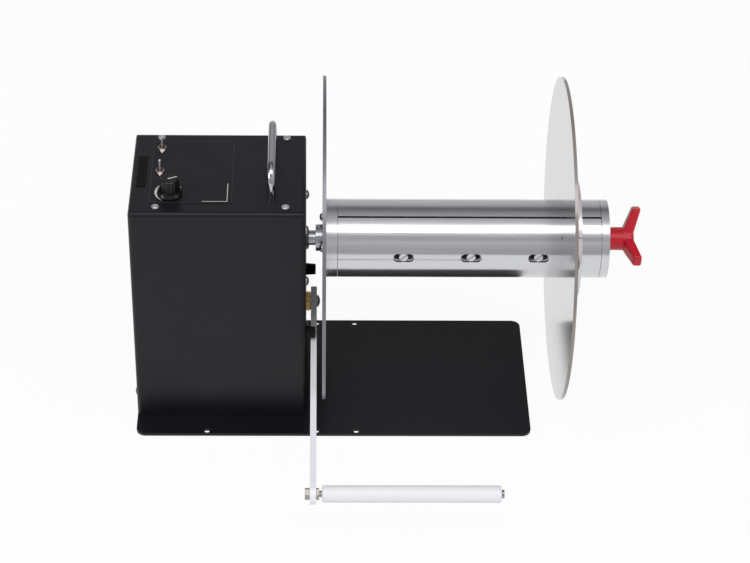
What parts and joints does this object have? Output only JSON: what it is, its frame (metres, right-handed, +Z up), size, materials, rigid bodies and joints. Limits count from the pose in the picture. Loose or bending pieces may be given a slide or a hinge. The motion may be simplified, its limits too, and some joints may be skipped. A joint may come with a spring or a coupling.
{
  "type": "label rewinder",
  "caption": "Bench label rewinder: motor box on a base plate, expanding mandrel between two large flanges, sprung tension arm with guide roller.",
  "frame": {"origin": "on the bench under the middle of the machine's bounding box", "axes": "+X along the mandrel from the motor box to the winged knob, -Y to the operator and the guide roller, +Z up"},
  "size_m": [0.491, 0.4024, 0.3303],
  "materials": {
    "powder_black": "fine textured powder coat",
    "black_zinc": "black zinc plating",
    "zinc_steel": "bright zinc plating",
    "steel_sheet": "plain zinc-coated sheet",
    "ground_steel": "ground",
    "chrome_rod": "polished chrome plating",
    "polished_aluminium": "polished after turning",
    "spun_aluminium": "circular brushed",
    "cast_aluminium": "as cast",
    "arm_aluminium": "bead blasted and anodised",
    "brass": "turned",
    "rubber": "moulded",
    "overlay_film": "printed matte film",
    "plate_film": "printed gloss film",
    "knob_plastic": "moulded",
    "red_plastic": "moulded",
    "roller_plastic": "turned white plastic",
    "switch_plastic": "moulded",
    "board_laminate": "solder mask",
    "component_plastic": "moulded",
    "motor_enamel": "stoved enamel",
    "spring_steel": "blued strip"
  },
  "bodies": {
    "chassis": {"base_plate": "powder_black", "rubber_feet": "rubber", "base_brackets": "steel_sheet", "base_screws": "zinc_steel", "housing_shell": "powder_black", "side_screws": "black_zinc", "panel_screws": "zinc_steel", "board_standoffs": "brass", "control_board": "board_laminate", "board_components": "component_plastic", "control_overlay": "overlay_film", "name_plate": "plate_film", "torque_pot": "steel_sheet", "panel_nuts": "zinc_steel", "toggle_bodies": "switch_plastic", "carry_handle": "chrome_rod", "handle_screws": "zinc_steel", "power_socket": "knob_plastic", "gearbox_case": "cast_aluminium", "gearbox_cover": "cast_aluminium", "wall_screws": "zinc_steel", "cover_bolts": "black_zinc", "drive_motor": "motor_enamel", "bearing_outer_rings": "ground_steel", "arm_bush": "brass", "arm_spring": "spring_steel", "sensor_bracket": "steel_sheet", "arm_sensor": "component_plastic", "rubber_stops": "rubber"},
    "spindle": {"spindle": "ground_steel", "drive_gear": "brass", "bearing_inner_rings": "ground_steel", "hub_collar": "ground_steel", "hub_screws": "zinc_steel", "inner_flange": "spun_aluminium", "mandrel_ring": "polished_aluminium", "core_tube": "cast_aluminium", "end_cap": "polished_aluminium", "end_cap_screws": "zinc_steel"},
    "pinion": {"motor_pinion": "ground_steel"},
    "expander": {"expander_sleeve": "cast_aluminium", "jaw_screws": "zinc_steel", "draw_nut": "brass"},
    "jaw_front": {"front_jaw": "polished_aluminium"},
    "jaw_back": {"back_jaw": "polished_aluminium"},
    "jaw_under": {"under_jaw": "polished_aluminium"},
    "grip_knob": {"wing_knob": "red_plastic", "draw_screw": "zinc_steel"},
    "flange": {"outer_flange": "spun_aluminium", "flange_hub": "polished_aluminium", "clamp_screw": "black_zinc"},
    "torque": {"torque_knob": "knob_plastic"},
    "front_lever": {"front_toggle_lever": "zinc_steel"},
    "rear_lever": {"rear_toggle_lever": "zinc_steel"},
    "arm": {"tension_arm": "arm_aluminium", "arm_shaft": "ground_steel", "arm_fasteners": "zinc_steel", "roller_axle": "zinc_steel"},
    "roller": {"guide_roller": "roller_plastic"}
  },
  "joints": [
    {"name": "spindle_turn", "type": "hinge", "parent": "chassis", "child": "spindle", "pos_m": [-0.06192, 0.04495, 0.174], "axis": [1, 0, 0], "continuous": true},
    {"name": "pinion_turn", "type": "hinge", "parent": "chassis", "child": "pinion", "pos_m": [-0.10802, 0.04495, 0.139], "axis": [1, 0, 0], "continuous": true},
    {"name": "grip_turn", "type": "hinge", "parent": "spindle", "child": "grip_knob", "pos_m": [0.21268, 0.04495, 0.174], "axis": [1, 0, 0], "range_deg": [0, 300]},
    {"name": "expander_slide", "type": "slide", "parent": "spindle", "child": "expander", "axis": [1, 0, 0], "range_m": [-0.00246, 0]},
    {"name": "front_jaw_slide", "type": "slide", "parent": "spindle", "child": "jaw_front", "axis": [0, -0.9925, 0.1219], "range_m": [-0.00081, 0.00001]},
    {"name": "back_jaw_slide", "type": "slide", "parent": "spindle", "child": "jaw_back", "axis": [0, 0.6018, 0.7986], "range_m": [-0.00081, 0.00001]},
    {"name": "under_jaw_slide", "type": "slide", "parent": "spindle", "child": "jaw_under", "axis": [0, 0.3907, -0.9205], "range_m": [-0.00081, 0.00001]},
    {"name": "flange_slide", "type": "slide", "parent": "spindle", "child": "flange", "axis": [1, 0, 0], "range_m": [-0.205, 0.0848]},
    {"name": "torque_turn", "type": "hinge", "parent": "chassis", "child": "torque", "pos_m": [-0.20532, 0.01045, 0.2478], "axis": [0, 0, 1], "range_deg": [-140, 140]},
    {"name": "front_lever_tip", "type": "hinge", "parent": "chassis", "child": "front_lever", "pos_m": [-0.21662, 0.04895, 0.2466], "axis": [1, 0, 0], "range_deg": [0, 24]},
    {"name": "rear_lever_tip", "type": "hinge", "parent": "chassis", "child": "rear_lever", "pos_m": [-0.21662, 0.08865, 0.2466], "axis": [1, 0, 0], "range_deg": [0, 24]},
    {"name": "arm_swing", "type": "hinge", "parent": "chassis", "child": "arm", "pos_m": [-0.07312, 0.04495, 0.0974], "axis": [1, 0, 0], "range_deg": [0, 9], "stiffness_Nm_per_rad": 0.6, "springref_deg": -68.75},
    {"name": "roller_turn", "type": "hinge", "parent": "arm", "child": "roller", "pos_m": [-0.01312, -0.19125, 0.0532], "axis": [1, 0, 0], "continuous": true}
  ],
  "couplings": [
    {"joint": "pinion_turn", "follows": "spindle_turn", "ratio": -4},
    {"joint": "grip_turn", "follows": "expander_slide", "rad_per_m": -2126.6},
    {"joint": "front_jaw_slide", "follows": "expander_slide", "ratio": 0.32492},
    {"joint": "back_jaw_slide", "follows": "expander_slide", "ratio": 0.32492},
    {"joint": "under_jaw_slide", "follows": "expander_slide", "ratio": 0.32492}
  ]
}
